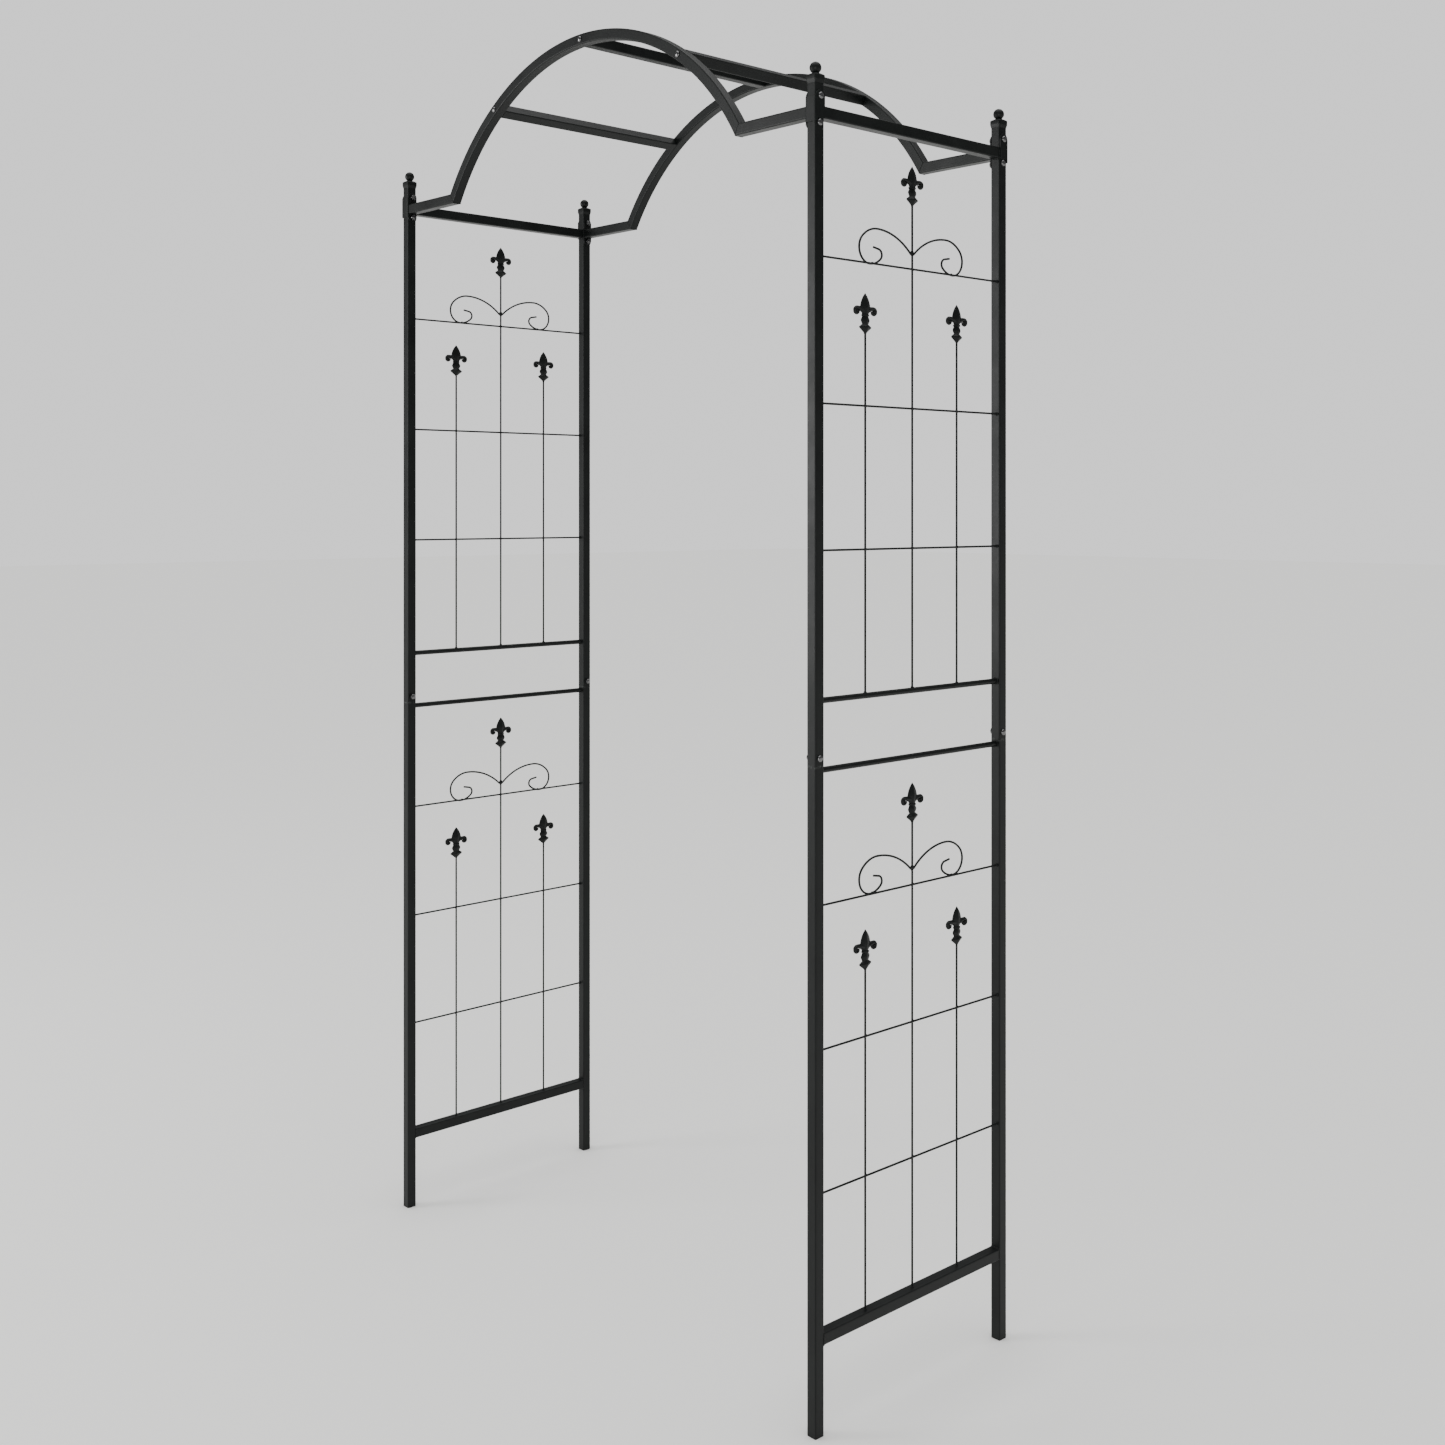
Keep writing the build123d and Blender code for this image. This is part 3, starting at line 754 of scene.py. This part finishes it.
class TRELLIS_OT_brackets(bpy.types.Operator):
    """Builds the plate brackets that wrap the tops of the posts"""

    bl_idname = "trellis.brackets"
    bl_label = "Corner brackets"

    def execute(self, context):
        # In plan the strip runs up the inner leg, round the outward face and back down the outer leg. Its top and
        # bottom edges are heights over that run: half circles about the bolts, z = bolt + sqrt(r^2 - y^2). The web's
        # lower edge folds a little way round on to the outer leg, and stops short of the lower bolt's head.
        half, bend = TUBE / 2, BRACKET_BEND
        leg = -half * np.cos(np.linspace(0, np.pi, 41))
        round_edge = np.sqrt(np.maximum(half**2 - leg**2, 0))
        turn = np.linspace(0, np.pi / 2, 8)[1:-1]
        wall = half + PLATE / 2
        corner = np.stack([-wall + bend * (1 - np.cos(turn)), wall - bend * (1 - np.sin(turn))], 1)
        inner = np.stack([np.full(len(leg), -wall), leg], 1)
        web = np.stack([np.linspace(-wall + bend, wall - bend, 5), np.full(5, wall)], 1)
        plan = np.concatenate([inner, corner, web, corner[::-1] * (-1, 1), inner[::-1] * (-1, 1)])
        top_of_leg = UPPER_BOLT_Z + round_edge
        inner_low = LOWER_BOLT_Z - round_edge
        blend = np.sin(turn) ** 2
        low = np.concatenate(
            [
                inner_low,
                LOWER_BOLT_Z + (WEB_BOTTOM - LOWER_BOLT_Z) * blend,
                np.full(len(web) + len(turn), WEB_BOTTOM),
                np.where(leg[::-1] > WEB_RETURN, WEB_BOTTOM, OUTER_LEG_BOTTOM),
            ]
        )
        high = np.concatenate([top_of_leg, np.full(len(web) + 2 * len(turn), UPPER_BOLT_Z), top_of_leg[::-1]])
        run = np.gradient(plan, axis=0)
        run /= np.linalg.norm(run, axis=1)[:, None]
        loops = np.stack([rounded_loop(PLATE, tall, 0.35, 4, 0.3) for tall in high - low])
        for end, side in CORNERS:
            out_x, out_y = SIDES[side], ENDS[end]
            centre = np.array([out_x * HALF_X, out_y * HALF_Y, 0])
            path = np.stack([out_x * plan[:, 0], out_y * plan[:, 1], (low + high) / 2], 1) + centre
            across = np.stack([-out_x * run[:, 1], out_y * run[:, 0], 0 * low], 1)
            node = f"corner_bracket_{end}_{side}"
            strip = shell(carry(path, across, np.tile(UP, (len(path), 1)), loops))
            add_piece(f"bent_{node}", [strip], *COAT, node)
        return {"FINISHED"}


def turned(origin, axis, heights, loops):
    """A surface about an axis: a loop at each height above the origin."""
    axis = np.asarray(axis, float)
    across = np.array([0.0, 0, 1]) if abs(axis[2]) < 0.5 else np.array([1.0, 0, 0])
    up = np.cross(axis, across)
    path = np.asarray(origin, float) + np.asarray(heights)[:, None] * axis
    return shell(carry(path, np.tile(across, (len(path), 1)), np.tile(up, (len(path), 1)), loops))


def dome_bolt(origin, axis, length):
    """Dome head on the origin, and a shank below it that carries a helical thread: r = R - d (1 + cos(h - a)) / 2."""
    rim = np.array([(0.0, HEAD / 2 - 0.15), (0.15, HEAD / 2), (0.6, HEAD / 2)])
    a = np.linspace(0.08, 1, 12) * np.pi / 2
    dome = np.stack([0.6 + (HEAD_HEIGHT - 0.6) * np.sin(a), HEAD / 2 * np.cos(a) ** 0.8 + 1e-3], 1)
    head = np.concatenate([rim, dome])
    shells = [turned(origin, axis, head[:, 0], head[:, 1][:, None, None] * round_loop(1.0, 32))]
    turn = np.linspace(0, 2 * np.pi, 20, endpoint=False)
    plain = np.linspace(0, max(length - THREAD_LENGTH, 1), 3)
    height = np.concatenate([plain, np.arange(plain[-1] + THREAD_PITCH / 6, length - 0.3, THREAD_PITCH / 6), [length]])
    cut = THREAD_DEPTH * (1 + np.cos(2 * np.pi * height[:, None] / THREAD_PITCH - turn)) / 2
    cut[:3] = 0
    radius = BOLT / 2 - cut
    radius[-1] = BOLT / 2 - 2 * THREAD_DEPTH
    loops = radius[..., None] * np.stack([np.cos(turn), np.sin(turn)], 1)
    shells.append(turned(origin, -np.asarray(axis, float), height, loops))
    return shells


def hexagon_nut(origin, axis):
    """Nut on the origin: r is the flat distance over the cosine of the angle from it, limited by a 30 degree cone."""
    turn = np.linspace(0, 2 * np.pi, 72, endpoint=False)
    flat = NUT_FLATS / 2 / np.cos((turn + np.pi / 6) % (np.pi / 3) - np.pi / 6)
    height = np.array([0, 0.2, 0.4, 0.7, 1.1, 3.9, 4.3, 4.6, 4.8, 5.0]) * NUT_HEIGHT / 5
    cone = NUT_FLATS / 2 - 0.1 + np.minimum(height, NUT_HEIGHT - height) * np.sqrt(3)
    radius = np.minimum(flat, cone[:, None])
    outer = radius[..., None] * np.stack([np.cos(turn), np.sin(turn)], 1)
    bore = np.tile(BOLT / 2 * np.stack([np.cos(turn), np.sin(turn)], 1), (2, 1, 1))
    loops = np.concatenate([outer, bore])
    height = np.concatenate([height, [NUT_HEIGHT, 0]])
    axis = np.asarray(axis, float)
    across = np.array([0.0, 0, 1])
    path = np.asarray(origin, float) + height[:, None] * axis
    up = np.cross(axis, across)
    return shell(carry(path, np.tile(across, (len(path), 1)), np.tile(up, (len(path), 1)), loops), ring=True)


class TRELLIS_OT_fasteners(bpy.types.Operator):
    """Builds the bolts, nuts and crossbar screws"""

    bl_idname = "trellis.fasteners"
    bl_label = "Fasteners"

    def execute(self, context):
        places = {
            "seam": ((SEAM_BOLT_Z, 0.0, 0.0),),
            "corner": ((UPPER_BOLT_Z, PLATE, PLATE), (LOWER_BOLT_Z, 0.0, PLATE)),
        }
        for name, rows in places.items():
            bolts, nuts = [], []
            for end, side in CORNERS:
                out_x, y = SIDES[side], ENDS[end] * HALF_Y
                for z, outer, inner in rows:
                    head = (out_x * (HALF_X + TUBE / 2 + outer), y, z)
                    seat = (out_x * (HALF_X - TUBE / 2 - inner), y, z)
                    bolts += dome_bolt(head, (out_x, 0, 0), TUBE + outer + inner + NUT_HEIGHT + THREAD_TAIL)
                    nuts.append(hexagon_nut(seat, (-out_x, 0, 0)))
            add_piece(f"plated_{name}_bolts", bolts, *ZINC, f"{name}_bolts")
            add_piece(f"plated_{name}_nuts", nuts, *ZINC, f"{name}_nuts", smooth=25)
        screws = []
        for way in CROSSBARS.values():
            for out_y in ENDS.values():
                seat = bow_point(way * CROSSBAR_ANGLE, out_y * (HALF_Y + TUBE / 2))
                screws += dome_bolt(seat, (0, out_y, 0), TUBE + PLUG_LENGTH)
        add_piece("plated_crossbar_screws", screws, *ZINC, "crossbar_screws")
        return {"FINISHED"}


def ripple(length, seed):
    """A weld's uneven width along its run: a sum of three sines with seeded phases, near 1."""
    phase = np.random.default_rng(seed).uniform(0, 2 * np.pi, 3)
    broad = 0.16 * np.sin(length * 1.9 + phase[0]) + 0.10 * np.sin(length * 0.83 + phase[1])
    return 1 + broad + 0.07 * np.sin(length * 3.1 + phase[2])


def bead(centre, across, up, normal, loop, radius, seed):
    """Weld bead: a small circle carried round a loop in a plane, its size changed along the way by a ripple."""
    loop = np.asarray(loop, float)
    path = np.asarray(centre, float) + loop[:, :1] * across + loop[:, 1:] * up
    run = np.roll(path, -1, 0) - np.roll(path, 1, 0)
    run /= np.linalg.norm(run, axis=1)[:, None]
    side = np.cross(run, normal)
    length = np.concatenate([[0], np.cumsum(np.linalg.norm(np.diff(path, axis=0), axis=1))])
    loops = (radius * ripple(length, seed))[:, None, None] * round_loop(1.0, 10)
    return shell(carry(path, side, np.tile(normal, (len(path), 1)), loops), ring=True)


def tack(centre, radii, seed):
    """Weld tack: an ellipsoid whose surface is pushed in and out by two low waves."""
    phase = np.random.default_rng(seed).uniform(0, 2 * np.pi, 2)
    a = np.linspace(-np.pi / 2, np.pi / 2, 9)[:, None]
    b = np.linspace(0, 2 * np.pi, 16, endpoint=False)[None]
    wave = 1 + 0.09 * np.sin(2 * b + phase[0]) * np.cos(a) + 0.07 * np.sin(3 * a + phase[1]) * np.cos(a)
    grid = np.stack([np.cos(a) * np.cos(b), np.cos(a) * np.sin(b), np.sin(a) + 0 * b], -1) * wave[..., None]
    grid[0], grid[-1] = grid[0] * (1e-3, 1e-3, 1), grid[-1] * (1e-3, 1e-3, 1)
    return shell(np.asarray(centre, float) + grid * radii)


def dense(loop, step=0.8):
    """The loop again, with points added so that none are further apart than the step."""
    closed = np.concatenate([loop, loop[:1]])
    length = np.concatenate([[0], np.cumsum(np.linalg.norm(np.diff(closed, axis=0), axis=1))])
    at = np.linspace(0, length[-1], int(length[-1] / step), endpoint=False)
    return np.stack([np.interp(at, length, closed[:, k]) for k in (0, 1)], 1)


class TRELLIS_OT_welds(bpy.types.Operator):
    """Builds the weld beads at the rails and mitres, and the tacks at the wires, rods and scrolls"""

    bl_idname = "trellis.welds"
    bl_label = "Welds"

    def execute(self, context):
        size = context.scene.trellis_sizes
        square = dense(rounded_loop(TUBE - 0.6, TUBE - 0.6, size.corner))
        pipe = dense(round_loop(4.9, 40))
        x_way, y_way = np.array([1.0, 0, 0]), np.array([0, 1.0, 0])
        seed = FIRST_SEED
        for side, out_x in SIDES.items():
            x = out_x * HALF_X
            beads, tacks = [], []
            for z, loop in ((BOTTOM_RAIL_Z, square), (TOP_RAIL_Z, square), *((z, pipe) for z in ROUND_RAILS.values())):
                for out_y in ENDS.values():
                    seed += 1
                    radius = size.weld if loop is square else ROUND_RAIL_WELD
                    beads.append(bead((x, out_y * INNER_Y, z), x_way, UP, out_y * y_way, loop, radius, seed))
            for level, heights in WIRE_HEIGHTS.items():
                wire_x = x + out_x * WIRE
                for z in heights:
                    for out_y in ENDS.values():
                        seed += 1
                        place = (wire_x, out_y * (INNER_Y - 0.6), z)
                        tacks.append(tack(place, (size.tack, WIRE_END_DEPTH, size.tack), seed))
                for column, base in zip((-1, 0, 1), FLEUR_BASES[level]):
                    y = column * ROD_PITCH
                    seed += 1
                    tacks.append(tack((x, y, ROD_FEET[level] + 0.3), ROD_FOOT_TACK, seed))
                    tacks.append(tack((x, y, base - 0.2), ROD_TOP_TACK, seed + SECOND_TACK))
                    for z in (z for z in heights if z < base):
                        seed += 1
                        tacks.append(tack((x + out_x * WIRE / 2, y, z), CROSSING_TACK, seed))
                for way in (-1, 1):
                    seed += 1
                    tacks.append(tack((x, way * 2.2, heights[-1] + SCROLL_START[1] + 1.5), SCROLL_ROOT_TACK, seed))
                    foot = (x + out_x * 1.4, way * SCROLL_REST, heights[-1] + 1.4)
                    tacks.append(tack(foot, SCROLL_WIRE_TACK, seed + SECOND_TACK))
            add_piece(f"weld_beads_{side}", beads, *COAT, smooth=80)
            add_piece(f"weld_tacks_{side}", tacks, *COAT, smooth=80)
        mitres = []
        half = MITRE_ANGLE / 2
        tall = dense(rounded_loop(TUBE - 0.5, (TUBE - 0.5) / np.cos(half), size.corner))
        for out_y in ENDS.values():
            for out_x in SIDES.values():
                seed += 1
                normal = np.array([out_x * np.cos(half), 0, -np.sin(half)])
                rise = np.array([out_x * np.sin(half), 0, np.cos(half)])
                place = (out_x * MITRE_X, out_y * HALF_Y, TOP_RAIL_Z)
                mitres.append(bead(place, y_way, rise, normal, tall, MITRE_WELD, seed))
        add_piece("weld_mitres", mitres, *COAT, smooth=80)
        return {"FINISHED"}


class TRELLIS_OT_inside_parts(bpy.types.Operator):
    """Gives the joining tubes and the plugs inside the tube their finishes"""

    bl_idname = "trellis.inside_parts"
    bl_label = "Inside parts"

    def execute(self, context):
        for name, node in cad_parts.items():
            if name.startswith("post_insert") or name == "crossbar_plugs":
                node.data.materials.clear()
                plastic = name == "crossbar_plugs"
                node.data.materials.append(finish_of("moulded polypropylene" if plastic else COAT[0]))
        return {"FINISHED"}


class TRELLIS_OT_stage(bpy.types.Operator):
    """Lays the floor, and places the camera and the soft lights"""

    bl_idname = "trellis.stage"
    bl_label = "Stage"

    def execute(self, context):
        look = context.scene.trellis_stage
        corners = [(x * FLOOR_REACH, y * FLOOR_REACH, 0) for x, y in ((-1, -1), (1, -1), (1, 1), (-1, 1))]
        floor_mesh = bpy.data.meshes.new("studio_floor")
        floor_mesh.from_pydata(corners, [], [(0, 1, 2, 3)])
        floor = bpy.data.objects.new("studio_floor", floor_mesh)
        paint, _, surface, _ = new_material("painted floor", **{"Roughness": 0.85, "IOR": 1.4})
        surface.inputs["Base Color"].default_value = (*look.floor, 1)
        floor_mesh.materials.append(paint)
        context.scene.collection.objects.link(floor)

        world = bpy.data.worlds.new("plain studio")
        world.use_nodes = True
        tree = world.node_tree
        seen = add_node(tree, "ShaderNodeLightPath").outputs["Is Camera Ray"]
        tree.links.new(span(tree, seen, look.room, look.backdrop), tree.nodes["Background"].inputs["Strength"])
        tree.nodes["Background"].inputs["Color"].default_value = (1.0, 1.0, 1.0, 1.0)
        context.scene.world = world

        # Name, power, place in metres, turn in degrees and size in metres
        lights = (
            ("upright panel", look.side, (-3.4, -4.4, 1.95), (90, 0, -38), (1.5, 2.6)),
            ("by the camera", look.fill, (3.6, -3.6, 1.2), (90, 0, 42), (0.6, 0.6)),
        )
        sun = bpy.data.lights.new("overhead", "SUN")
        sun.energy = look.key
        sun.angle = np.radians(SUN_SPREAD)
        context.scene.collection.objects.link(bpy.data.objects.new("overhead", sun))
        for name, power, place, turn, extent in lights:
            lamp = bpy.data.lights.new(name, "AREA")
            lamp.shape = "RECTANGLE"
            lamp.size, lamp.size_y = extent
            lamp.energy = power
            holder = bpy.data.objects.new(name, lamp)
            holder.location = place
            holder.rotation_euler = Euler(np.radians(turn))
            context.scene.collection.objects.link(holder)

        camera = bpy.data.cameras.new("camera")
        camera.sensor_width = 36.0
        camera.lens = CAMERA_LENS
        camera.shift_y = CAMERA_SHIFT
        camera.dof.use_dof = False
        holder = bpy.data.objects.new("camera", camera)
        holder.location = CAMERA_PLACE
        holder.rotation_euler = Euler(np.radians(CAMERA_TURN))
        context.scene.collection.objects.link(holder)
        context.scene.camera = holder
        return {"FINISHED"}


OPERATORS = (
    TRELLIS_OT_stage,
    TRELLIS_OT_posts,
    TRELLIS_OT_rails,
    TRELLIS_OT_bows,
    TRELLIS_OT_crossbars,
    TRELLIS_OT_rods_and_wires,
    TRELLIS_OT_scrolls,
    TRELLIS_OT_finials,
    TRELLIS_OT_post_caps,
    TRELLIS_OT_brackets,
    TRELLIS_OT_fasteners,
    TRELLIS_OT_welds,
    TRELLIS_OT_inside_parts,
)


class TRELLIS_PT_panel(bpy.types.Panel):
    """Lists the pieces of the arch, and the sizes and colours they are made with"""

    bl_idname = "TRELLIS_PT_panel"
    bl_label = "Trellis arch"
    bl_space_type = "VIEW_3D"
    bl_region_type = "UI"
    bl_category = "Trellis arch"

    def draw(self, context):
        for group in ("trellis_sizes", "trellis_finish", "trellis_stage"):
            settings = getattr(context.scene, group)
            for name in settings.__annotations__:
                self.layout.prop(settings, name)
        for operator in OPERATORS:
            self.layout.operator(operator.bl_idname)


GROUPS = {"trellis_sizes": TrellisSizes, "trellis_finish": TrellisFinish, "trellis_stage": TrellisStage}


def register():
    """Registers the settings, the operators and the panel."""
    for name, group in GROUPS.items():
        bpy.utils.register_class(group)
        setattr(bpy.types.Scene, name, PointerProperty(type=group))
    for kind in (*OPERATORS, TRELLIS_PT_panel):
        bpy.utils.register_class(kind)


def unregister():
    """Removes what register added."""
    for kind in (TRELLIS_PT_panel, *reversed(OPERATORS)):
        bpy.utils.unregister_class(kind)
    for name, group in GROUPS.items():
        delattr(bpy.types.Scene, name)
        bpy.utils.unregister_class(group)


def main():
    """Builds every piece in order."""
    register()
    for operator in OPERATORS:
        family, name = operator.bl_idname.split(".")
        getattr(getattr(bpy.ops, family), name)()


if __name__ == "__main__":
    main()
